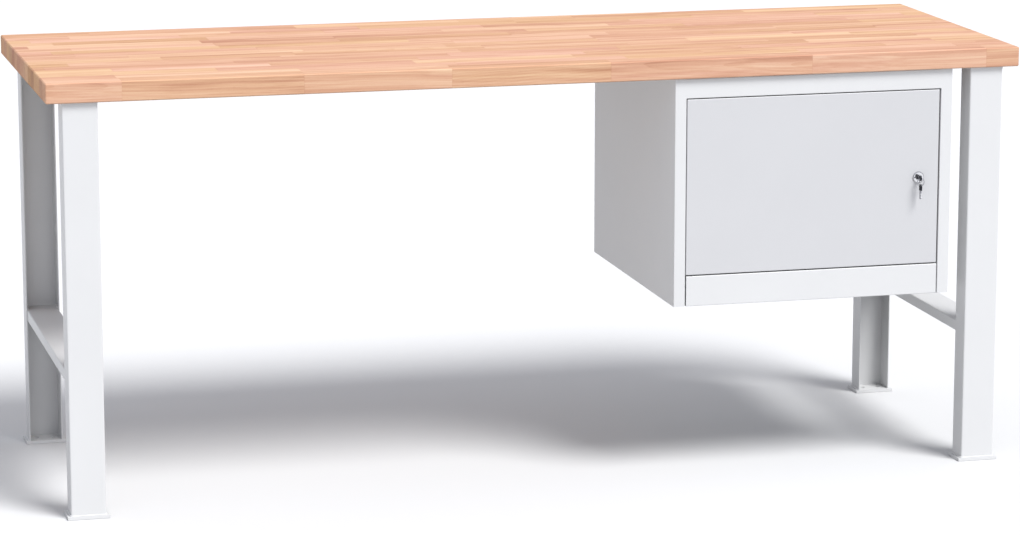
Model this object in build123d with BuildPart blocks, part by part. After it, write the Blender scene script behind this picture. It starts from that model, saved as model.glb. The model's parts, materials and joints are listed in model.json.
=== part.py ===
# Workbench: beech worktop on four channel legs, with one suspended steel cabinet.
# Millimetres, +X to the right, +Y to the back, +Z up; the origin is on the floor under the worktop's centre.
import os
from math import hypot

from build123d import *

# Worktop
top_length = 2000
top_depth = 700
top_thickness = 40
top_edge_bevel = 2
bench_height = 870

# Legs: bent channels with the web facing outwards
leg_width = 70
leg_flange = 50
leg_sheet = 2
leg_bend = 1
leg_inset_side = 32
leg_inset_end = 9

# Foot plates and top plates on the ends of the legs
foot_thickness = 6
foot_border_side = 7
foot_border_end = 5
anchor_hole = 11
anchor_spacing = 36
cap_thickness = 5
cap_reach = 90
cap_screw_spacing = 45

# Stretchers: inverted channels between the flanges of two legs
stretcher_height = 290
stretcher_flange = 22
stretcher_sheet = 2
stretcher_bend = 1
stretcher_end_gap = 4

# Screws into the worktop
screw_diameter = 8
screw_bite = 28
screw_head_width = 13
screw_head_height = 5.5
screw_tip_gap = 2
screw_clearance = 0.1

# Cabinet of folded sheet, hung under the worktop beside the right legs
cabinet_width = 592
cabinet_depth = 595
cabinet_height = 468
cabinet_leg_gap = 39
cabinet_sheet = 1
cabinet_bend = 0.5
stile_width = 24
stile_return = 15
rear_flange = 15
header_height = 41
strip_height = 62
strip_return = 15
strip_side_gap = 2.5
pan_flange = 25
pan_front_gap = 2
ceiling_flange = 20
cabinet_screw_inset = 60

# Shelf and its side supports
shelf_front_setback = 80
shelf_rear_gap = 8
shelf_side_gap = 1
shelf_fold = 25
shelf_return = 10
support_leg = 18
support_ledge = 15
support_end_gap = 12

# Door
door_sheet = 1
door_depth = 18
door_lip = 14
door_edge_radius = 1.5
door_gap_lock = 3
door_gap_top = 2
door_gap_bottom = 2.5
swing_clearance = 0.6
stop_gap = 2
stop_drop = 12
stop_start = 90
buffer_diameter = 9
buffer_clearance = 0.4
buffer_inset = 30
stiffener_top = 30
stiffener_foot = 15
stiffener_depth = 12
stiffener_end_gap = 3

# Door hinge: pins on the door that turn in bushes
pin_diameter = 5
pin_inset = 12
pin_setback = 6
pin_collar = 9
pin_collar_height = 2
pin_reach = 4
bush_wall = 1.5
bush_rim = 1.5
bush_rim_height = 1
bush_clearance = 0.05
bush_reach = 3
bush_seat_gap = 0.2

# Cylinder lock
lock_inset = 43
rosette_diameter = 24
rosette_height = 3
rosette_bevel = 1.6
barrel_diameter = 18
barrel_flats = 15
barrel_clearance = 0.1
nut_width = 24
nut_height = 4
plug_diameter = 12
plug_clearance = 0.05
plug_bevel = 0.4
cam_gap = 2
cam_sheet = 2
cam_width = 15
cam_overlap = 9
tail_width = 7
cam_screw_diameter = 4
cam_screw_length = 8
cam_screw_head = 9
cam_screw_head_height = 3

# Keys and their ring
blade_thickness = 1.8
blade_width = 7
blade_length = 18
blade_shown = 3
blade_tang = 5
blade_point = 2
groove_width = 1.6
groove_depth = 0.5
groove_start = 1
cut_count = 4
cut_pitch = 3
cut_depth = 1.2
cut_start = 4
keyway_clearance = 0.1
key_head_length = 13
key_head_width = 11
key_head_thickness = 3.2
key_neck_wall = 1.2
key_hole = 4
key_hole_inset = 3.8
ring_radius = 7.5
ring_wall = 1.2
ring_turn = 0.9
ring_seam = 0.3
ring_clearance = 0.3

os.makedirs("parts", exist_ok=True)


def save(part, name):
    """Label one finished piece and write it."""
    part.label = name
    export_step(part, f"parts/{name}.step")


def folded_sheet(plane, points, sheet, bend, side):
    """Section of a bent sheet: the points follow one face, and the sheet lies to that side of it."""
    with BuildSketch(plane) as section:
        with BuildLine():
            FilletPolyline(*points, radius=bend + sheet)
            offset(amount=sheet, side=side)
        make_face()
    return section.sketch


# Places that several pieces share
underside = bench_height - top_thickness
leg_x = top_length / 2 - leg_inset_side - leg_width / 2
leg_y = top_depth / 2 - leg_inset_end
leg_top = underside - cap_thickness
cap_length = leg_flange + cap_reach
cap_y = leg_y - cap_length / 2
cap_screw_y = leg_y - leg_flange - cap_reach / 2

cabinet_right = leg_x - leg_width / 2 - cabinet_leg_gap
cabinet_left = cabinet_right - cabinet_width
cabinet_x = (cabinet_left + cabinet_right) / 2
cabinet_front = -leg_y
cabinet_back = cabinet_front + cabinet_depth
cabinet_bottom_z = underside - cabinet_height
cabinet_inner = cabinet_width - 2 * cabinet_sheet
pan_back = cabinet_back - 2 * cabinet_sheet
ceiling_z = underside - cabinet_sheet
header_z = underside - header_height
floor_z = cabinet_bottom_z + strip_height
opening_left = cabinet_left + stile_width
opening_right = cabinet_right - stile_width
opening_width = opening_right - opening_left
wide_front = cabinet_front + stile_return + pan_front_gap

# The hinge gap lets the door's rounded edge swing past the stile
edge_swing = hypot(pin_inset - door_edge_radius, pin_setback - door_edge_radius) + door_edge_radius
door_gap_hinge = edge_swing - pin_inset + swing_clearance
door_left = opening_left + door_gap_hinge
door_right = opening_right - door_gap_lock
door_width = door_right - door_left
door_x = (door_left + door_right) / 2
door_top = header_z - door_gap_top
door_bottom = floor_z + door_gap_bottom
door_height = door_top - door_bottom
door_z = (door_top + door_bottom) / 2
pin_x = door_left + pin_inset
pin_y = cabinet_front + pin_setback
bush_bore = pin_diameter + 2 * bush_clearance
bush_outer = bush_bore + 2 * bush_wall

lock_x = door_right - lock_inset
lock_z = door_z
cam_y = cabinet_front + max(door_depth, stile_return) + cam_gap
cam_reach = opening_right - lock_x + cam_overlap
rosette_y = cabinet_front - rosette_height
head_reach = key_head_length - key_hole_inset
key_hole_y = rosette_y - blade_shown - head_reach
ring_sag = ring_radius - (ring_radius**2 - (key_head_thickness / 2) ** 2) ** 0.5
ring_corner = hypot(ring_wall / 2, ring_turn)
ring_drop = key_hole / 2 - ring_corner - ring_sag - ring_clearance
ring_top_z = lock_z - ring_drop
ring_bottom_z = ring_top_z - 2 * ring_radius
spare_hole_z = ring_bottom_z - ring_drop

cap_screw_points = []
for sx in (-1, 1):
    for sy in (-1, 1):
        for dy in (-1, 1):
            cap_screw_points.append((sx * leg_x, sy * cap_screw_y + dy * cap_screw_spacing / 2))

cabinet_screw_points = []
for screw_x in (cabinet_left + cabinet_screw_inset, cabinet_right - cabinet_screw_inset):
    for screw_y in (cabinet_front + cabinet_screw_inset, cabinet_back - cabinet_screw_inset):
        cabinet_screw_points.append((screw_x, screw_y))


# Worktop: one glued board with bevelled edges and blind pilot holes below
with BuildPart() as worktop:
    with BuildSketch(Plane.XY.offset(underside)):
        Rectangle(top_length, top_depth)
    extrude(amount=top_thickness)
    chamfer(worktop.edges(), length=top_edge_bevel)
    with BuildSketch(Plane.XY.offset(underside)):
        with Locations(*cap_screw_points, *cabinet_screw_points):
            Circle(screw_diameter / 2 + screw_clearance)
    extrude(amount=screw_bite + screw_tip_gap, mode=Mode.SUBTRACT)
save(worktop.part, "worktop")


# Legs with their foot plates and top plates
for end, sy in (("front", -1), ("rear", 1)):
    for side, sx in (("left", -1), ("right", 1)):
        web_y = sy * leg_y
        open_y = sy * (leg_y - leg_flange)
        channel = [
            (sx * leg_x - leg_width / 2, open_y),
            (sx * leg_x - leg_width / 2, web_y),
            (sx * leg_x + leg_width / 2, web_y),
            (sx * leg_x + leg_width / 2, open_y),
        ]
        inside = Side.LEFT if sy < 0 else Side.RIGHT
        section = folded_sheet(Plane.XY.offset(foot_thickness), channel, leg_sheet, leg_bend, inside)
        with BuildPart() as leg:
            extrude(section, amount=leg_top - foot_thickness)
        save(leg.part, f"leg_{end}_{side}")

        foot_y = sy * (leg_y - leg_flange / 2)
        hole_y = sy * (leg_y - (leg_flange + leg_sheet) / 2)
        with BuildPart() as foot_plate:
            with BuildSketch():
                with Locations((sx * leg_x, foot_y)):
                    Rectangle(leg_width + 2 * foot_border_side, leg_flange + 2 * foot_border_end)
                with Locations((sx * leg_x, hole_y)):
                    with GridLocations(anchor_spacing, 0, 2, 1):
                        Circle(anchor_hole / 2, mode=Mode.SUBTRACT)
            extrude(amount=foot_thickness)
        save(foot_plate.part, f"foot_plate_{end}_{side}")

        with BuildPart() as top_plate:
            with BuildSketch(Plane.XY.offset(leg_top)):
                with Locations((sx * leg_x, sy * cap_y)):
                    Rectangle(leg_width, cap_length)
                with Locations((sx * leg_x, sy * cap_screw_y)):
                    with GridLocations(0, cap_screw_spacing, 1, 2):
                        Circle(screw_diameter / 2 + screw_clearance, mode=Mode.SUBTRACT)
            extrude(amount=cap_thickness)
        save(top_plate.part, f"top_plate_{end}_{side}")


# Stretchers: inverted channels that sit between the leg flanges
stretcher_half = leg_width / 2 - leg_sheet
stretcher_reach = leg_y - leg_sheet - stretcher_end_gap
for side, sx in (("left", -1), ("right", 1)):
    channel = [
        (sx * leg_x - stretcher_half, stretcher_height - stretcher_flange),
        (sx * leg_x - stretcher_half, stretcher_height),
        (sx * leg_x + stretcher_half, stretcher_height),
        (sx * leg_x + stretcher_half, stretcher_height - stretcher_flange),
    ]
    section = folded_sheet(
        Plane.XZ.offset(-stretcher_reach), channel, stretcher_sheet, stretcher_bend, Side.RIGHT
    )
    with BuildPart() as stretcher:
        extrude(section, amount=2 * stretcher_reach)
    save(stretcher.part, f"stretcher_{side}")


# Screws: hexagon heads, shanks up into the worktop
def worktop_screws(points, seat_z):
    """One group of screws whose heads bear on the face at seat_z from below."""
    with BuildPart() as screws:
        with BuildSketch(Plane.XY.offset(seat_z)):
            with Locations(*points):
                Circle(screw_diameter / 2)
        extrude(amount=underside + screw_bite - seat_z)
        with BuildSketch(Plane.XY.offset(seat_z)):
            with Locations(*points):
                RegularPolygon(screw_head_width / 2, 6, major_radius=False)
        extrude(amount=-screw_head_height)
    return screws.part


save(worktop_screws(cap_screw_points, leg_top), "leg_screws")
save(worktop_screws(cabinet_screw_points, ceiling_z), "cabinet_screws")


# Cabinet sides: side wall, front stile with its return, and a flange behind the back panel
for side, sx in (("left", -1), ("right", 1)):
    wall_x = cabinet_x + sx * cabinet_width / 2
    stile_x = wall_x - sx * stile_width
    inside = Side.LEFT if sx < 0 else Side.RIGHT
    wall = [
        (wall_x - sx * rear_flange, cabinet_back),
        (wall_x, cabinet_back),
        (wall_x, cabinet_front),
        (stile_x, cabinet_front),
    ]
    lined = wall + [(stile_x, cabinet_front + stile_return)]
    low = folded_sheet(Plane.XY.offset(cabinet_bottom_z), lined, cabinet_sheet, cabinet_bend, inside)
    high = folded_sheet(Plane.XY.offset(header_z), wall, cabinet_sheet, cabinet_bend, inside)
    with BuildPart() as cabinet_side:
        extrude(low, amount=header_z - cabinet_bottom_z)
        extrude(high, amount=header_height)
    save(cabinet_side.part, f"cabinet_side_{side}")

# Header rail between the stiles, with a lip behind the door that stops it
header_return = door_depth + stop_gap + cabinet_sheet
header_path = [
    (cabinet_front + header_return, ceiling_z),
    (cabinet_front, ceiling_z),
    (cabinet_front, header_z),
    (cabinet_front + header_return, header_z),
]
section = folded_sheet(
    Plane.YZ.offset(opening_left), header_path, cabinet_sheet, cabinet_bend, Side.LEFT
)
stop_left = opening_left + stop_start
stop_y = cabinet_front + door_depth + stop_gap
with BuildPart() as header:
    extrude(section, amount=opening_width)
    with BuildSketch(Plane.XY.offset(header_z + cabinet_sheet)):
        with Locations((stop_left, stop_y)):
            Rectangle(opening_right - stop_left, cabinet_sheet, align=(Align.MIN, Align.MIN))
    extrude(amount=-(stop_drop + cabinet_sheet))
    with BuildSketch(Plane.XY.offset(header_z)):
        with Locations((pin_x, pin_y)):
            Circle(bush_outer / 2 + bush_clearance)
    extrude(amount=bush_reach + cabinet_sheet, mode=Mode.SUBTRACT)
save(header.part, "header_rail")

# Cabinet top sheet, folded down along both sides
ceiling_path = [
    (cabinet_left + cabinet_sheet, ceiling_z - ceiling_flange),
    (cabinet_left + cabinet_sheet, underside),
    (cabinet_right - cabinet_sheet, underside),
    (cabinet_right - cabinet_sheet, ceiling_z - ceiling_flange),
]
section = folded_sheet(
    Plane.XZ.offset(-pan_back), ceiling_path, cabinet_sheet, cabinet_bend, Side.RIGHT
)
with BuildPart() as cabinet_top:
    extrude(section, amount=pan_back - wide_front)
    with BuildSketch(Plane.XY.offset(ceiling_z)):
        with Locations((cabinet_x, cabinet_front)):
            Rectangle(opening_width, wide_front - cabinet_front, align=(Align.CENTER, Align.MIN))
    extrude(amount=cabinet_sheet)
    with BuildSketch(Plane.XY.offset(ceiling_z)):
        with Locations(*cabinet_screw_points):
            Circle(screw_diameter / 2 + screw_clearance)
    extrude(amount=cabinet_sheet, mode=Mode.SUBTRACT)
save(cabinet_top.part, "cabinet_top")

# Bottom pan: floor, folded front strip between the stiles, and side flanges
strip_width = opening_width - 2 * strip_side_gap
strip_path = [
    (pan_back, floor_z),
    (cabinet_front, floor_z),
    (cabinet_front, cabinet_bottom_z),
    (cabinet_front + strip_return, cabinet_bottom_z),
]
strip_section = folded_sheet(
    Plane.YZ.offset(opening_left + strip_side_gap), strip_path, cabinet_sheet, cabinet_bend, Side.LEFT
)
pan_path = [
    (cabinet_left + cabinet_sheet, floor_z - pan_flange),
    (cabinet_left + cabinet_sheet, floor_z),
    (cabinet_right - cabinet_sheet, floor_z),
    (cabinet_right - cabinet_sheet, floor_z - pan_flange),
]
pan_section = folded_sheet(Plane.XZ.offset(-pan_back), pan_path, cabinet_sheet, cabinet_bend, Side.RIGHT)
with BuildPart() as cabinet_bottom:
    extrude(strip_section, amount=strip_width)
    extrude(pan_section, amount=pan_back - wide_front)
    with BuildSketch(Plane.XY.offset(floor_z)):
        with Locations((pin_x, pin_y)):
            Circle(bush_outer / 2 + bush_clearance)
    extrude(amount=-2 * cabinet_sheet, mode=Mode.SUBTRACT)
save(cabinet_bottom.part, "cabinet_bottom")

# Back panel, inside the rear flanges
with BuildPart() as cabinet_back_panel:
    with BuildSketch(Plane.XY.offset(cabinet_bottom_z)):
        with Locations((cabinet_x, pan_back)):
            Rectangle(cabinet_inner - 2 * cabinet_bend, cabinet_sheet, align=(Align.CENTER, Align.MIN))
    extrude(amount=cabinet_height)
save(cabinet_back_panel.part, "cabinet_back")


# Shelf with folded front and rear edges, on two angle supports
shelf_front = cabinet_front + shelf_front_setback
shelf_back = pan_back - shelf_rear_gap
shelf_z = (floor_z + ceiling_z) / 2
shelf_path = [
    (shelf_back, shelf_z - shelf_fold),
    (shelf_back, shelf_z),
    (shelf_front, shelf_z),
    (shelf_front, shelf_z - shelf_fold),
    (shelf_front + shelf_return, shelf_z - shelf_fold),
]
shelf_left = cabinet_left + cabinet_sheet + shelf_side_gap
section = folded_sheet(Plane.YZ.offset(shelf_left), shelf_path, cabinet_sheet, cabinet_bend, Side.LEFT)
with BuildPart() as shelf:
    extrude(section, amount=cabinet_inner - 2 * shelf_side_gap)
save(shelf.part, "shelf")

ledge_z = shelf_z - cabinet_sheet
support_front = shelf_front + shelf_return + support_end_gap
support_back = shelf_back - support_end_gap
for side, sx in (("left", -1), ("right", 1)):
    wall_x = cabinet_x + sx * cabinet_inner / 2
    angle = [
        (wall_x, ledge_z - support_leg),
        (wall_x, ledge_z),
        (wall_x - sx * support_ledge, ledge_z),
    ]
    inside = Side.RIGHT if sx < 0 else Side.LEFT
    section = folded_sheet(Plane.XZ.offset(-support_back), angle, cabinet_sheet, cabinet_bend, inside)
    with BuildPart() as support:
        extrude(section, amount=support_back - support_front)
    save(support.part, f"shelf_support_{side}")


# Door: a folded pan with lips, holes for the hinge pins and the lock
door_front_plane = Plane.XZ.offset(-cabinet_front)
with BuildPart() as door_panel:
    with BuildSketch(door_front_plane):
        with Locations((door_x, door_z)):
            Rectangle(door_width, door_height)
    extrude(amount=-door_depth)
    front_face = door_panel.faces().sort_by(Axis.Y)[0]
    fillet(front_face.edges(), radius=door_edge_radius)
    back_face = door_panel.faces().sort_by(Axis.Y)[-1]
    offset(amount=-door_sheet, openings=back_face)
    with BuildSketch(door_front_plane.offset(-door_depth)):
        with Locations((door_x, door_z)):
            Rectangle(door_width, door_height)
            Rectangle(door_width - 2 * door_lip, door_height - 2 * door_lip, mode=Mode.SUBTRACT)
    extrude(amount=door_sheet)
    with BuildSketch(Plane.XY.offset(door_bottom)):
        with Locations((pin_x, pin_y)):
            Circle(pin_diameter / 2 + bush_clearance)
    extrude(amount=door_height, mode=Mode.SUBTRACT)
    with BuildSketch(door_front_plane):
        with Locations((lock_x, lock_z)):
            Circle(barrel_diameter / 2 + barrel_clearance)
            Rectangle(barrel_flats + 2 * barrel_clearance, barrel_diameter * 2, mode=Mode.INTERSECT)
    extrude(amount=-2 * door_sheet, mode=Mode.SUBTRACT)
save(door_panel.part, "door_panel")

# Stiffener: a hat section on the back of the door skin
skin_back = cabinet_front + door_sheet
hat_half = stiffener_top / 2 + stiffener_foot
hat = [
    (door_x - hat_half, skin_back),
    (door_x - stiffener_top / 2, skin_back),
    (door_x - stiffener_top / 2, skin_back + stiffener_depth),
    (door_x + stiffener_top / 2, skin_back + stiffener_depth),
    (door_x + stiffener_top / 2, skin_back),
    (door_x + hat_half, skin_back),
]
hat_bottom = door_bottom + door_sheet + stiffener_end_gap
section = folded_sheet(Plane.XY.offset(hat_bottom), hat, door_sheet, cabinet_bend, Side.LEFT)
with BuildPart() as door_stiffener:
    extrude(section, amount=door_height - 2 * (door_sheet + stiffener_end_gap))
save(door_stiffener.part, "door_stiffener")

# Rubber buffers on the stop lip
buffer_height = stop_gap - buffer_clearance
with BuildPart() as door_buffers:
    with BuildSketch(Plane.XZ.offset(-stop_y)):
        with Locations((stop_left + buffer_inset, header_z - stop_drop / 2)):
            Circle(buffer_diameter / 2)
        with Locations((opening_right - buffer_inset, header_z - stop_drop / 2)):
            Circle(buffer_diameter / 2)
    extrude(amount=buffer_height)
save(door_buffers.part, "door_buffers")

# Hinge pins and bushes at the door's upper and lower left corners
for end, flange_z, seat_z, gap, sz in (
    ("upper", door_top - door_sheet, header_z, door_gap_top, 1),
    ("lower", door_bottom + door_sheet, floor_z, door_gap_bottom, -1),
):
    pin_length = door_sheet + gap + cabinet_sheet + pin_reach
    with BuildPart() as hinge_pin:
        with BuildSketch(Plane.XY.offset(flange_z)):
            with Locations((pin_x, pin_y)):
                Circle(pin_collar / 2)
        extrude(amount=-sz * pin_collar_height)
        with BuildSketch(Plane.XY.offset(flange_z)):
            with Locations((pin_x, pin_y)):
                Circle(pin_diameter / 2)
        extrude(amount=sz * pin_length)
    save(hinge_pin.part, f"hinge_pin_{end}")

    rim_height = bush_rim_height if sz > 0 else gap - bush_seat_gap
    with BuildPart() as bush:
        with BuildSketch(Plane.XY.offset(seat_z)):
            with Locations((pin_x, pin_y)):
                Circle(bush_outer / 2 + bush_rim)
                Circle(bush_bore / 2, mode=Mode.SUBTRACT)
        extrude(amount=-sz * rim_height)
        with BuildSketch(Plane.XY.offset(seat_z)):
            with Locations((pin_x, pin_y)):
                Circle(bush_outer / 2)
                Circle(bush_bore / 2, mode=Mode.SUBTRACT)
        extrude(amount=sz * (cabinet_sheet + bush_reach))
    save(bush.part, f"hinge_bush_{end}")


# Lock housing: rosette in front, barrel with two flats through the door
rosette_plane = Plane((lock_x, rosette_y, lock_z), x_dir=(1, 0, 0), z_dir=(0, 1, 0))
face_plane = rosette_plane.offset(rosette_height)
barrel_length = cam_y - cabinet_front - cam_gap / 2
plug_bore = plug_diameter + 2 * plug_clearance
with BuildPart() as lock_housing:
    with BuildSketch(rosette_plane):
        Circle(rosette_diameter / 2)
    extrude(amount=rosette_height)
    chamfer(lock_housing.edges().sort_by(Axis.Y)[0], length=rosette_bevel)
    with BuildSketch(face_plane):
        Circle(barrel_diameter / 2)
        Rectangle(barrel_flats, barrel_diameter, mode=Mode.INTERSECT)
    extrude(amount=barrel_length)
    with BuildSketch(rosette_plane):
        Circle(plug_bore / 2)
    extrude(amount=rosette_height + barrel_length, mode=Mode.SUBTRACT)
save(lock_housing.part, "lock_housing")

with BuildPart() as lock_nut:
    with BuildSketch(face_plane.offset(door_sheet)):
        RegularPolygon(nut_width / 2, 6, major_radius=False)
        Circle(barrel_diameter / 2 + barrel_clearance, mode=Mode.SUBTRACT)
    extrude(amount=nut_height)
save(lock_nut.part, "lock_nut")

# Lock plug with its keyway in front and a square tail for the cam
plug_length = cam_y - rosette_y
with BuildPart() as lock_plug:
    with BuildSketch(rosette_plane):
        Circle(plug_diameter / 2)
    extrude(amount=plug_length)
    chamfer(lock_plug.edges().sort_by(Axis.Y)[0], length=plug_bevel)
    with BuildSketch(rosette_plane.offset(plug_length)):
        Rectangle(tail_width, tail_width)
    extrude(amount=cam_sheet)
    with BuildSketch(rosette_plane):
        Rectangle(blade_thickness + 2 * keyway_clearance, blade_width + 2 * keyway_clearance)
    extrude(amount=blade_length - blade_shown + 2 * keyway_clearance, mode=Mode.SUBTRACT)
    with BuildSketch(rosette_plane.offset(plug_length + cam_sheet)):
        Circle(cam_screw_diameter / 2 + screw_clearance)
    extrude(amount=-cam_screw_length, mode=Mode.SUBTRACT)
save(lock_plug.part, "lock_plug")

# Cam: hangs down while unlocked, and turns behind the right stile to lock
cam_plane = Plane((lock_x, cam_y, lock_z), x_dir=(1, 0, 0), z_dir=(0, -1, 0))
cam_length = cam_reach - cam_width / 2
with BuildPart() as lock_cam:
    with BuildSketch(cam_plane):
        Circle(cam_width / 2)
        with Locations((0, -cam_length / 2)):
            Rectangle(cam_width, cam_length)
        with Locations((0, -cam_length)):
            Circle(cam_width / 2)
        Rectangle(tail_width, tail_width, mode=Mode.SUBTRACT)
    extrude(amount=-cam_sheet)
save(lock_cam.part, "lock_cam")

cam_back = cam_plane.offset(-cam_sheet)
with BuildPart() as cam_screw:
    with BuildSketch(cam_back):
        Circle(cam_screw_head / 2)
    extrude(amount=-cam_screw_head_height)
    with BuildSketch(cam_back):
        Circle(cam_screw_diameter / 2)
    extrude(amount=cam_screw_length - screw_clearance)
save(cam_screw.part, "cam_screw")


# Keys: on each plane +X runs from the hole along the blade, and the cuts face -Y
key_plane = Plane((lock_x, key_hole_y, lock_z), x_dir=(0, 1, 0), z_dir=(1, 0, 0))
spare_plane = Plane((lock_x, key_hole_y, spare_hole_z), x_dir=(0, 0, -1), z_dir=(1, 0, 0))
head_middle = key_head_width / 2 - key_hole_inset
blade_start = head_reach - blade_tang
blade_end = head_reach + blade_length
cut_side = cut_depth * 2**0.5
for name, plane in (("key", key_plane), ("spare_key", spare_plane)):
    with BuildPart() as key_head:
        with BuildSketch(plane):
            with Locations((head_middle, 0)):
                Circle(key_head_width / 2)
                Rectangle(
                    head_reach - head_middle, blade_width + 2 * key_neck_wall, align=(Align.MIN, Align.CENTER)
                )
            Circle(key_hole / 2, mode=Mode.SUBTRACT)
        extrude(amount=key_head_thickness / 2, both=True)
        with BuildSketch(plane):
            with Locations((blade_start, 0)):
                Rectangle(key_head_length, blade_width, align=(Align.MIN, Align.CENTER))
        extrude(amount=blade_thickness / 2, both=True, mode=Mode.SUBTRACT)
    save(key_head.part, f"{name}_head")

    with BuildPart() as key_blade:
        with BuildSketch(plane):
            with BuildLine():
                Polyline(
                    (blade_start, -blade_width / 2),
                    (blade_end - blade_point, -blade_width / 2),
                    (blade_end, blade_point - blade_width / 2),
                    (blade_end, blade_width / 2 - blade_point),
                    (blade_end - blade_point, blade_width / 2),
                    (blade_start, blade_width / 2),
                    close=True,
                )
            make_face()
            for cut in range(cut_count):
                with Locations((head_reach + cut_start + cut * cut_pitch, -blade_width / 2)):
                    Rectangle(cut_side, cut_side, rotation=45, mode=Mode.SUBTRACT)
        extrude(amount=blade_thickness / 2, both=True)
        with BuildSketch(plane.offset(blade_thickness / 2)):
            with Locations((head_reach + groove_start, 0)):
                Rectangle(blade_length, groove_width, align=(Align.MIN, Align.CENTER))
        extrude(amount=-groove_depth, mode=Mode.SUBTRACT)
    save(key_blade.part, f"{name}_blade")

# Split ring through the holes of both keys: two flat turns with a seam between them
with BuildPart() as key_ring:
    with BuildSketch(Plane.YZ.offset(lock_x)):
        with Locations((key_hole_y, ring_top_z)):
            Rectangle(2 * ring_turn, ring_wall)
            with Locations((0, -ring_wall / 2), (0, ring_wall / 2)):
                Rectangle(ring_seam, ring_seam, rotation=45, mode=Mode.SUBTRACT)
    ring_axis = Axis((lock_x, key_hole_y, ring_top_z - ring_radius), (0, 1, 0))
    revolve(axis=ring_axis)
save(key_ring.part, "key_ring")
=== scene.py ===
import json
from math import cos, pi, radians, sin

import bpy
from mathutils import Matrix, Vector


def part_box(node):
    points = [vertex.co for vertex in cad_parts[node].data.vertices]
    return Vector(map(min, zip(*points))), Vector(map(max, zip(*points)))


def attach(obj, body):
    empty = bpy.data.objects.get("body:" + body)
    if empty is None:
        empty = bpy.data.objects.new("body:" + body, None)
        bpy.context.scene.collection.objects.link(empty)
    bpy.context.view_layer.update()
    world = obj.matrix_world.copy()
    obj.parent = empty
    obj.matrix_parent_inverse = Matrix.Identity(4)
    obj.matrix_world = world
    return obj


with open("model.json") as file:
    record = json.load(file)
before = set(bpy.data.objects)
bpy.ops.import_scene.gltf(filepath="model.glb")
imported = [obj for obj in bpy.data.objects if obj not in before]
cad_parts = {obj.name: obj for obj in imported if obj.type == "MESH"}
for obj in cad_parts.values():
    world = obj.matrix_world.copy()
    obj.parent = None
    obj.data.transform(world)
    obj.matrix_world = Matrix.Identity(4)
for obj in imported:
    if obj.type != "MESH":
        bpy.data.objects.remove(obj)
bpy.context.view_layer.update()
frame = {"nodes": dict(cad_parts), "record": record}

# Camera: the place and angles that fit the photograph, in metres and degrees
camera_place = (-1.9244, -7.4958, 1.9696)
camera_pitch = 11.54
camera_yaw = 14.486
camera_lens = 132.9
sensor_width = 36

# Light: a soft sun from the front right, and a sky that brightens upwards and towards the front
sun_from = (0.39, -0.60, 1.0)
sun_strength = 1.366 * pi
sun_angle = 25
sky_colour = (0.945, 0.970, 1.055, 1)
sky_level = 0.644
sky_slope = (-0.06, -0.268, 0.395)
backdrop_colour = (1, 1, 1, 1)
backdrop_strength = 1.0

# Floor: a wide pale sheet just under the feet, in metres
floor_size = 80
floor_drop = 0.0005
floor_colour = (0.535, 0.535, 0.535, 1)
floor_roughness = 0.9

# Noise: its middle, and the range that most of it lies in
noise_middle = 0.5
noise_range = (0.3, 0.7)

# Worktop: staves glued side by side along X, each of blocks of uneven length, in metres
stave_width = 0.043
stave_phase = 0.352
block_length = 0.36
block_unevenness = 0.85
row_spread = 57.3

# Glue lines: full up to the first value and gone at the second, in staves and in blocks
glue_line_side = (0.004, 0.014)
glue_line_end = (0.0006, 0.0018)

# Streaks of the wood: noise scales along the staves and across them, per metre
block_offset = (9.0, 9.0, 9.0)
sway_scales = (3.0, 3.0, 3.0)
sway_reach = (0.0, 0.028, 0.028)
band_scales = (0.9, 34, 34)
broad_scales = (1.4, 95, 95)
fine_scales = (3.2, 280, 280)
pore_scales = (170, 1500, 1500)
pore_limits = (0.62, 0.74)

# Growth rings, in metres: a block lies off the log's heart by the spread, and slants in it by the tilt
ring_spacing = 0.0042
ring_spread = 0.13
ring_tilt = 0.11
ring_wander = 0.006
ring_level = 0.85
ring_sharpness = 3.0
ring_average = 0.25

# Tone of the wood, from 0 for dark to 1 for light: each block has its own, and each kind of grain
# has a weight in it
block_tones = (0.26, 0.74)
band_weight = 1.0
broad_weight = 1.5
fine_weight = 1.35
ring_weight = -0.20
pore_weight = -0.16
glue_weight = -0.2
hue_weight = 0.9
wood_tones = [
    (0.0, (0.354, 0.179, 0.105)),
    (0.3, (0.442, 0.248, 0.153)),
    (0.5, (0.481, 0.280, 0.178)),
    (0.7, (0.517, 0.319, 0.212)),
    (1.0, (0.566, 0.378, 0.259)),
]
wood_hues = [(0.15, (1.0, 0.965, 1.045)), (0.85, (1.0, 1.035, 0.935))]

# Ends and underside of the worktop, told by the way that the surface faces
end_facing = (0.6, 0.9)
under_facing = (-0.9, -0.6)
end_streak_change = -0.65
end_ring_change = -0.45
end_stave_tones = (-0.10, 0.10)
raw_tint = (0.98, 1.12, 1.22, 1)

# Finish of the wood: satin oil on the planed faces, rough where it is sawn; relief in metres
wood_gloss = 0.12
satin_roughness = (0.54, 0.70)
end_roughness = 0.96
pore_depth = -0.6
glue_depth = -0.8
wood_relief = 0.00012
wood_relief_strength = 0.5

# Paint: noise scales per metre, and relief in metres
paint_drift_scale = 4.0
paint_peel_scale = 1100.0
paint_roughness_change = 0.05
paint_relief = 0.00006
paint_relief_strength = 0.35

# Metal: the change of roughness, and how squarely a flat face looks along Y; faces that look less
# squarely get a painted darker reflection
metal_roughness_change = 0.25
metal_relief_strength = 0.4
painted_reflection_facing = (0.85, 0.95)

# Moulded pieces: noise scale per metre, and relief in metres
mould_scale = 2600.0
mould_roughness_change = 0.06
mould_relief = 0.00005
mould_relief_strength = 0.5

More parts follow.
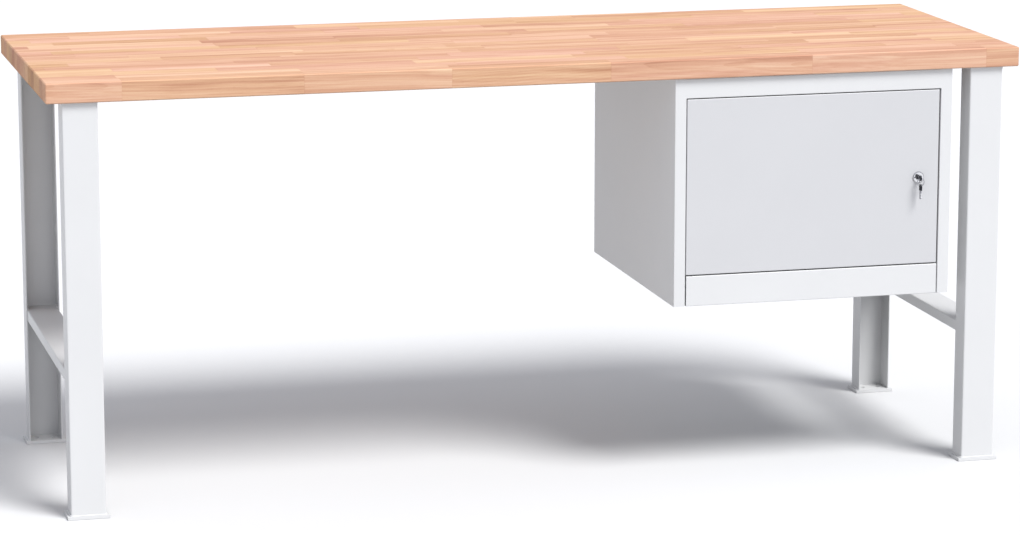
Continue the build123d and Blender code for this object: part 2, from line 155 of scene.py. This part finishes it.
# Weld beads, in metres: rippled fillets where the legs meet their feet and the stretchers
bead_size = 0.0026
bead_ripple = 0.10
bead_pitch = 0.0034
bead_step = 0.0008
bead_taper = 0.004
bead_tip = 0.15
bead_sides = 5
bead_corner_steps = 4
leg_corner = 0.003
leg_sheet = 0.002

# Corner tabs behind the ends of the cabinet's front strip, in metres
tab_start = 0.004
tab_depth = 0.0145
tab_reach = 0.018
tab_sheet = 0.001
tab_bend = 0.0015
tab_bend_steps = 6


def add(tree, kind, inputs=None, **settings):
    """One shader node: inputs holds plain values, or sockets to link."""
    made = tree.nodes.new(kind)
    for name, value in settings.items():
        setattr(made, name, value)
    for key, value in (inputs or {}).items():
        if isinstance(value, bpy.types.NodeSocket):
            tree.links.new(value, made.inputs[key])
        else:
            made.inputs[key].default_value = value
    return made


def calc(tree, operation, *values):
    """The result of one math node."""
    return add(tree, "ShaderNodeMath", dict(enumerate(values)), operation=operation).outputs[0]


def vector_calc(tree, operation, inputs):
    """The result of one vector math node."""
    return add(tree, "ShaderNodeVectorMath", inputs, operation=operation).outputs[0]


def stretched(tree, place, scales, shift=None):
    """Coordinates scaled on each axis, and shifted if a second vector is given."""
    spread = vector_calc(tree, "MULTIPLY", {0: place, 1: scales})
    if shift is None:
        return spread
    return vector_calc(tree, "ADD", {0: spread, 1: shift})


def noise(tree, vector, detail=2.0, roughness=0.5, scale=1.0):
    """Noise from 0 to 1 about its middle."""
    inputs = {"Vector": vector, "Scale": scale, "Detail": detail, "Roughness": roughness}
    return add(tree, "ShaderNodeTexNoise", inputs).outputs[0]


def remap(tree, value, low, high, to_low, to_high):
    """A value mapped from one range to another, held at the ends."""
    inputs = {"Value": value, "From Min": low, "From Max": high, "To Min": to_low, "To Max": to_high}
    return add(tree, "ShaderNodeMapRange", inputs).outputs[0]


def ramp(tree, value, stops):
    """A colour from a list of (position, colour) stops."""
    made = add(tree, "ShaderNodeValToRGB", {0: value})
    elements = made.color_ramp.elements
    any_position = 0.5
    while len(elements) < len(stops):
        elements.new(any_position)
    for element, (position, colour) in zip(elements, stops):
        element.position = position
        element.color = (*colour, 1)
    return made.outputs[0]


def between(tree, value, shade, colour):
    """A colour between two, picked by a noise value."""
    low, high = noise_range
    return ramp(tree, value, [(low, shade), (high, colour)])


def tinted(tree, colour, tint, share=1.0):
    """A colour multiplied by a tint, wholly or by a share."""
    inputs = {0: share, 6: colour, 7: tint}
    return add(tree, "ShaderNodeMix", inputs, data_type="RGBA", blend_type="MULTIPLY").outputs[2]


def scaled(tree, colour, level):
    """A colour made lighter or darker by a level."""
    return vector_calc(tree, "SCALE", {0: colour, "Scale": level})


def principled(name, **values):
    """A new material with its node tree and shader; values are set on the shader's own sockets."""
    material = bpy.data.materials.new(name)
    material.use_nodes = True
    tree = material.node_tree
    shader = tree.nodes["Principled BSDF"]
    for key, value in values.items():
        shader.inputs[key.replace("_", " ")].default_value = value
    return material, tree, shader


def object_place(tree):
    """Coordinates in metres in the part's own frame."""
    return add(tree, "ShaderNodeTexCoord").outputs["Object"]


def facing_axes(tree):
    """The way that the surface faces, as a node with X, Y and Z."""
    facing = add(tree, "ShaderNodeTexCoord").outputs["Normal"]
    return add(tree, "ShaderNodeSeparateXYZ", {0: facing})


def vary_roughness(tree, shader, value, low, high):
    """Roughness between two levels, by a noise value."""
    tree.links.new(remap(tree, value, *noise_range, low, high), shader.inputs["Roughness"])


def bump(tree, shader, height, distance, strength):
    """Fine relief from a height value."""
    inputs = {"Height": height, "Distance": distance, "Strength": strength}
    relief = add(tree, "ShaderNodeBump", inputs)
    tree.links.new(relief.outputs[0], shader.inputs["Normal"])


def wood_blocks(tree, axes):
    """Where a point lies across its stave, random values for its row and its block, and how near
    the block's end is."""
    stave = calc(tree, "DIVIDE", calc(tree, "ADD", axes.outputs["Y"], stave_phase), stave_width)
    row = calc(tree, "FLOOR", stave)
    row_noise = add(tree, "ShaderNodeTexWhiteNoise", {"W": row}, noise_dimensions="1D")
    row_random = row_noise.outputs["Value"]
    row_shift = calc(tree, "MULTIPLY", row_random, row_spread)
    along = calc(tree, "ADD", calc(tree, "DIVIDE", axes.outputs["X"], block_length), row_shift)
    kind = "ShaderNodeTexVoronoi"
    cells = {"W": along, "Scale": 1.0, "Randomness": block_unevenness}
    block = add(tree, kind, cells, voronoi_dimensions="1D")
    border = add(tree, kind, cells, voronoi_dimensions="1D", feature="DISTANCE_TO_EDGE")
    across = calc(tree, "FRACT", stave)
    return across, row_random, block.outputs["Color"], border.outputs["Distance"]


def wood_streaks(tree, place, block_random):
    """Noise along the grain, shifted from block to block: bands, broad and fine streaks, and pores."""
    shift = stretched(tree, block_random, block_offset)
    sway_inputs = {"Vector": stretched(tree, place, sway_scales, shift), "Detail": 1.0, "Scale": 1.0}
    sway = add(tree, "ShaderNodeTexNoise", sway_inputs).outputs["Color"]
    bent = vector_calc(tree, "MULTIPLY_ADD", {0: sway, 1: sway_reach, 2: place})
    band = noise(tree, stretched(tree, bent, band_scales, shift), detail=1.0)
    broad = noise(tree, stretched(tree, bent, broad_scales, shift), detail=3.0, roughness=0.6)
    fine = noise(tree, stretched(tree, bent, fine_scales, shift), detail=5.0, roughness=0.68)
    specks = noise(tree, stretched(tree, bent, pore_scales, shift), detail=1.0)
    pore = remap(tree, specks, *pore_limits, 0.0, 1.0)
    return band, broad, fine, pore


def growth_rings(tree, axes, across, block_random, band):
    """Late wood, from 0 to 1: each block is cut at its own place and slant from a log, so that the
    rings arch on flat faces."""
    cut = add(tree, "ShaderNodeTexWhiteNoise", {"Vector": block_random}).outputs["Color"]
    cut_axes = add(tree, "ShaderNodeSeparateColor", {0: cut})
    slant = calc(tree, "MULTIPLY", calc(tree, "SUBTRACT", cut_axes.outputs[2], noise_middle), ring_tilt)
    squares = []
    for near, random in (
        (calc(tree, "MULTIPLY", across, stave_width), cut_axes.outputs[0]),
        (calc(tree, "SUBTRACT", axes.outputs["Z"], ring_level), cut_axes.outputs[1]),
    ):
        offset = calc(tree, "SUBTRACT", random, noise_middle)
        aside = calc(tree, "MULTIPLY_ADD", offset, ring_spread, near)
        from_axis = calc(tree, "MULTIPLY_ADD", axes.outputs["X"], slant, aside)
        squares.append(calc(tree, "MULTIPLY", from_axis, from_axis))
    radius = calc(tree, "POWER", calc(tree, "ADD", *squares), 0.5)
    radius = calc(tree, "MULTIPLY_ADD", band, ring_wander, radius)
    ring = calc(tree, "FRACT", calc(tree, "DIVIDE", radius, ring_spacing))
    return calc(tree, "POWER", ring, ring_sharpness)


def beech():
    """Edge-glued beech with oiled faces, sawn ends and a raw underside."""
    material, tree, shader = principled("beech", Specular_IOR_Level=wood_gloss)
    place = object_place(tree)
    axes = add(tree, "ShaderNodeSeparateXYZ", {0: place})
    across, row_random, block_random, block_border = wood_blocks(tree, axes)
    block_values = add(tree, "ShaderNodeSeparateColor", {0: block_random})
    band, broad, fine, pore = wood_streaks(tree, place, block_random)
    late_wood = growth_rings(tree, axes, across, block_random, band)

    # Glue lines between staves and between blocks
    side = calc(tree, "MINIMUM", across, calc(tree, "SUBTRACT", 1.0, across))
    side_line = remap(tree, side, *glue_line_side, 1.0, 0.0)
    end_line = remap(tree, block_border, *glue_line_end, 1.0, 0.0)
    glue = calc(tree, "MAXIMUM", side_line, end_line)

    # One tone value picks the colour; where the staves are cut across, rings show more than streaks
    facing = facing_axes(tree)
    end_share = remap(tree, calc(tree, "ABSOLUTE", facing.outputs["X"]), *end_facing, 0.0, 1.0)
    streak_share = calc(tree, "MULTIPLY_ADD", end_share, end_streak_change, 1.0)
    value = remap(tree, block_values.outputs[0], 0.0, 1.0, *block_tones)
    for streaks, weight in ((band, band_weight), (broad, broad_weight), (fine, fine_weight)):
        level = calc(tree, "MULTIPLY", calc(tree, "SUBTRACT", streaks, noise_middle), weight)
        value = calc(tree, "MULTIPLY_ADD", level, streak_share, value)
    ring_share = calc(tree, "MULTIPLY_ADD", end_share, end_ring_change, ring_weight)
    ring_tone = calc(tree, "SUBTRACT", late_wood, ring_average)
    value = calc(tree, "MULTIPLY_ADD", ring_tone, ring_share, value)
    value = calc(tree, "MULTIPLY_ADD", pore, pore_weight, value)
    value = calc(tree, "MULTIPLY_ADD", glue, glue_weight, value)

    # The hue drifts from block to block and along the broad streaks
    hue_drift = calc(tree, "SUBTRACT", broad, noise_middle)
    hue = calc(tree, "MULTIPLY_ADD", hue_drift, hue_weight, block_values.outputs[1])
    colour = tinted(tree, ramp(tree, value, wood_tones), ramp(tree, hue, wood_hues))

    # The staves differ most in tone where they are cut across
    stave_tone = remap(tree, row_random, 0.0, 1.0, *end_stave_tones)
    colour = scaled(tree, colour, calc(tree, "MULTIPLY_ADD", stave_tone, end_share, 1.0))

    # The underside is left raw, which is paler and less red than the oiled faces
    raw_share = remap(tree, facing.outputs["Z"], *under_facing, 1.0, 0.0)
    tree.links.new(tinted(tree, colour, raw_tint, raw_share), shader.inputs["Base Color"])

    # Planed faces have a satin oil finish, and the sawn ends are rough
    satin = remap(tree, fine, *noise_range, *satin_roughness)
    end_change = calc(tree, "SUBTRACT", end_roughness, satin)
    rough = calc(tree, "MULTIPLY_ADD", end_share, end_change, satin)
    tree.links.new(rough, shader.inputs["Roughness"])
    height = calc(tree, "MULTIPLY_ADD", pore, pore_depth, fine)
    height = calc(tree, "MULTIPLY_ADD", glue, glue_depth, height)
    bump(tree, shader, height, wood_relief, wood_relief_strength)
    return material


def powder_coat(name, colour, shade, roughness):
    """Satin powder coat: faint drift of tone, and the fine peel of sprayed paint."""
    material, tree, shader = principled(name)
    place = object_place(tree)
    drift = noise(tree, place, detail=3.0, roughness=0.6, scale=paint_drift_scale)
    peel = noise(tree, place, scale=paint_peel_scale)
    tree.links.new(between(tree, drift, shade, colour), shader.inputs["Base Color"])
    low, high = roughness - paint_roughness_change, roughness + paint_roughness_change
    vary_roughness(tree, shader, peel, low, high)
    bump(tree, shader, peel, paint_relief, paint_relief_strength)
    return material


def metal(name, colour, shade, roughness, grain_scales, relief, bevel_painted_reflection=1.0):
    """Bare or plated metal: fine lines along the grain vary its tone and gloss, and a factor darkens
    the colour of what doesn't face along Y, a painted darker reflection on bevels."""
    material, tree, shader = principled(name, Metallic=1.0)
    place = object_place(tree)
    grain = noise(tree, stretched(tree, place, grain_scales), detail=3.0, roughness=0.6)
    flat = calc(tree, "ABSOLUTE", facing_axes(tree).outputs["Y"])
    # Painted darker reflection: the colour is darkened where the face doesn't look squarely along Y,
    # such as a bevel
    painted_reflection_level = remap(tree, flat, *painted_reflection_facing, bevel_painted_reflection, 1.0)
    tone = scaled(tree, between(tree, grain, shade, colour), painted_reflection_level)
    tree.links.new(tone, shader.inputs["Base Color"])
    low, high = roughness * (1 - metal_roughness_change), roughness * (1 + metal_roughness_change)
    vary_roughness(tree, shader, grain, low, high)
    bump(tree, shader, grain, relief, metal_relief_strength)
    return material


def moulded(name, colour, shade, roughness, gloss=0.5):
    """Moulded plastic or rubber with a fine spark-eroded grain."""
    material, tree, shader = principled(name, Specular_IOR_Level=gloss)
    grain = noise(tree, object_place(tree), scale=mould_scale)
    tree.links.new(between(tree, grain, shade, colour), shader.inputs["Base Color"])
    low, high = roughness - mould_roughness_change, roughness + mould_roughness_change
    vary_roughness(tree, shader, grain, low, high)
    bump(tree, shader, grain, mould_relief, mould_relief_strength)
    return material


finishes = {
    "beech": beech(),
    "frame_paint": powder_coat(
        "frame_paint", colour=(0.526, 0.527, 0.526), shade=(0.514, 0.515, 0.514), roughness=0.42
    ),
    "door_paint": powder_coat(
        "door_paint", colour=(0.448, 0.448, 0.455), shade=(0.439, 0.439, 0.446), roughness=0.42
    ),
    "zinc": metal(
        "zinc", colour=(0.62, 0.63, 0.65), shade=(0.48, 0.49, 0.51), roughness=0.34,
        grain_scales=(900, 900, 900), relief=0.00003
    ),
    # The chrome's bevels get a painted darker reflection at half brightness
    "chrome": metal(
        "chrome", colour=(0.80, 0.80, 0.82), shade=(0.74, 0.74, 0.76), roughness=0.07,
        grain_scales=(500, 500, 500), relief=0.000004, bevel_painted_reflection=0.5
    ),
    "key_steel": metal(
        "key_steel", colour=(0.40, 0.40, 0.42), shade=(0.31, 0.31, 0.33), roughness=0.32,
        grain_scales=(2500, 2500, 300), relief=0.00002
    ),
    "key_plastic": moulded(
        "key_plastic", colour=(0.007, 0.008, 0.013), shade=(0.004, 0.005, 0.009), roughness=0.42,
        gloss=0.22
    ),
    # Near-black nylon: partly its own colour, partly painted shade, kept dark so the hinge bush seen in
    # the door gap reads as the gap's shadow
    "nylon": moulded(
        "nylon", colour=(0.050, 0.050, 0.052), shade=(0.040, 0.040, 0.042), roughness=0.45
    ),
    "rubber": moulded(
        "rubber", colour=(0.030, 0.030, 0.032), shade=(0.020, 0.020, 0.022), roughness=0.75
    ),
}
for part in frame["record"]["subparts"]:
    mesh = frame["nodes"][part["node"]].data
    mesh.materials.clear()
    mesh.materials.append(finishes[part["material_slot"]])


def bench_piece(name, verts, faces, smooth=False):
    """A painted piece on the bench's frame."""
    mesh = bpy.data.meshes.new(name)
    mesh.from_pydata(verts, [], faces)
    if smooth:
        mesh.shade_smooth()
    mesh.materials.append(finishes["frame_paint"])
    piece = bpy.data.objects.new(name, mesh)
    bpy.context.scene.collection.objects.link(piece)
    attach(piece, "bench")


def bead_path(corners, corner_radius, step):
    """Points at even steps along a flat polyline with rounded corners, each with the direction to
    its left."""
    outline = [Vector(corners[0])]
    for before, corner, after in zip(corners, corners[1:], corners[2:]):
        here = Vector(corner)
        way_in = (here - Vector(before)).normalized()
        way_out = (Vector(after) - here).normalized()
        centre = here + corner_radius * (way_out - way_in)
        for turn in range(bead_corner_steps + 1):
            angle = turn / bead_corner_steps * pi / 2
            spoke = way_in * sin(angle) - way_out * cos(angle)
            outline.append(centre + corner_radius * spoke)
    outline.append(Vector(corners[-1]))
    path = []
    for start, end in zip(outline, outline[1:]):
        way = end - start
        count = max(1, round(way.length / step))
        left = Vector((-way.y, way.x)).normalized()
        path += [(start + way * index / count, left) for index in range(count)]
    path.append((outline[-1], path[-1][1]))
    return path


def weld_bead(corners, height, corner_radius=0.0):
    """Vertices and faces of one bead, to the left of its path and on the level given by height."""
    path = bead_path(corners, corner_radius, bead_step)
    verts = []
    last = len(path) - 1
    for index, (place, left) in enumerate(path):
        taper = min(1.0, bead_tip + min(index, last - index) * bead_step / bead_taper)
        size = bead_size * taper * (1 + bead_ripple * sin(2 * pi * index * bead_step / bead_pitch))
        for side in range(bead_sides + 1):
            angle = side / bead_sides * pi / 2
            foot = place + left * size * sin(angle)
            verts.append((foot.x, foot.y, height + size * cos(angle)))
        verts.append((place.x, place.y, height))
    ring = bead_sides + 2
    faces = [tuple(range(ring)), tuple(reversed(range(last * ring, (last + 1) * ring)))]
    for index in range(last):
        low, high = index * ring, (index + 1) * ring
        for side in range(ring):
            after = (side + 1) % ring
            faces.append((low + side, high + side, high + after, low + after))
    return verts, faces


def weld_piece(name, beads):
    """One piece of several beads."""
    verts, faces = [], []
    for bead_verts, bead_faces in beads:
        faces += [tuple(index + len(verts) for index in face) for face in bead_faces]
        verts += bead_verts
    bench_piece(name, verts, faces, smooth=True)


def weld_beads():
    """Beads round the outside of each leg's foot, and along the stretchers' ends inside the legs."""
    for side in ("left", "right"):
        stretcher_low, stretcher_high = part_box(f"stretcher_{side}")
        for end, outward in (("front", -1), ("rear", 1)):
            low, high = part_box(f"leg_{end}_{side}")
            web, rim = (low.y, high.y) if outward < 0 else (high.y, low.y)
            near, far = (high.x, low.x) if outward < 0 else (low.x, high.x)
            outside = [(near, rim), (near, web), (far, web), (far, rim)]
            weld_piece(f"weld_foot_{end}_{side}", [weld_bead(outside, low.z, leg_corner)])

            tip = stretcher_low.y if outward < 0 else stretcher_high.y
            near_wall = near + outward * leg_sheet
            far_wall = far - outward * leg_sheet
            lines = [[(near_wall, tip), (near_wall, rim)], [(far_wall, rim), (far_wall, tip)]]
            beads = [weld_bead(line, stretcher_high.z) for line in lines]
            weld_piece(f"weld_stretcher_{end}_{side}", beads)


def angle_section():
    """Outline of a bent angle: across from the stile, and back from the cabinet's front."""
    outer, inner = [(0.0, tab_start)], [(tab_sheet, tab_start)]
    centre = tab_depth - tab_bend
    for step in range(tab_bend_steps + 1):
        angle = step / tab_bend_steps * pi / 2
        for line, radius in ((outer, tab_bend), (inner, tab_bend - tab_sheet)):
            line.append((tab_bend - radius * cos(angle), centre + radius * sin(angle)))
    outer.append((tab_reach, tab_depth))
    inner.append((tab_reach, tab_depth - tab_sheet))
    return outer + inner[::-1]


def strip_tabs():
    """A folded angle behind each end of the front strip closes the slot beside the stile."""
    rail_low, rail_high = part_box("header_rail")
    pan_low, pan_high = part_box("cabinet_bottom")
    foot, head = pan_low.z + tab_sheet, pan_high.z - tab_sheet
    for side, stile, inward in (("left", rail_low.x, 1), ("right", rail_high.x, -1)):
        section = angle_section()[::inward]
        ring = len(section)
        verts = []
        for height in (foot, head):
            verts += [(stile + inward * across, pan_low.y + back, height) for across, back in section]
        faces = [tuple(range(ring)), tuple(reversed(range(ring, 2 * ring)))]
        for index in range(ring):
            after = (index + 1) % ring
            faces.append((index, ring + index, ring + after, after))
        bench_piece(f"strip_tab_{side}", verts, faces)


def stage_floor():
    """The floor, which isn't part of the object."""
    half = floor_size / 2
    corners = [(-half, -half), (half, -half), (half, half), (-half, half)]
    mesh = bpy.data.meshes.new("floor")
    mesh.from_pydata([(x, y, -floor_drop) for x, y in corners], [], [(0, 1, 2, 3)])
    floor = bpy.data.objects.new("floor", mesh)
    bpy.context.scene.collection.objects.link(floor)
    finish = {"Base_Color": floor_colour, "Roughness": floor_roughness, "Specular_IOR_Level": 0.0}
    mesh.materials.append(principled("floor", **finish)[0])


def studio_light():
    """The sky that lights the object, a white backdrop behind it, and the sun."""
    world = bpy.data.worlds.new("studio")
    bpy.context.scene.world = world
    world.use_nodes = True
    tree = world.node_tree
    output = tree.nodes["World Output"]
    sky = tree.nodes["Background"]
    sky.inputs["Color"].default_value = sky_colour
    direction = add(tree, "ShaderNodeTexCoord").outputs["Generated"]
    slope = add(tree, "ShaderNodeVectorMath", {0: direction, 1: sky_slope}, operation="DOT_PRODUCT")
    tree.links.new(calc(tree, "ADD", slope.outputs["Value"], sky_level), sky.inputs["Strength"])
    plain = {"Color": backdrop_colour, "Strength": backdrop_strength}
    backdrop = add(tree, "ShaderNodeBackground", plain)
    seen = add(tree, "ShaderNodeLightPath").outputs["Is Camera Ray"]
    mixed = add(tree, "ShaderNodeMixShader", {0: seen, 1: sky.outputs[0], 2: backdrop.outputs[0]})
    tree.links.new(mixed.outputs[0], output.inputs["Surface"])

    data = bpy.data.lights.new("sun", "SUN")
    data.energy = sun_strength
    data.angle = radians(sun_angle)
    sun = bpy.data.objects.new("sun", data)
    sun.rotation_euler = Vector(sun_from).to_track_quat("Z", "Y").to_euler()
    bpy.context.scene.collection.objects.link(sun)


def photo_camera():
    """The camera at the photograph's viewing angle."""
    data = bpy.data.cameras.new("camera")
    data.lens = camera_lens
    data.sensor_width = sensor_width
    camera = bpy.data.objects.new("camera", data)
    camera.location = camera_place
    camera.rotation_euler = (radians(90 - camera_pitch), 0, radians(-camera_yaw))
    bpy.context.scene.collection.objects.link(camera)
    bpy.context.scene.camera = camera


weld_beads()
strip_tabs()
stage_floor()
studio_light()
photo_camera()
bpy.context.scene.view_settings.view_transform = "Standard"
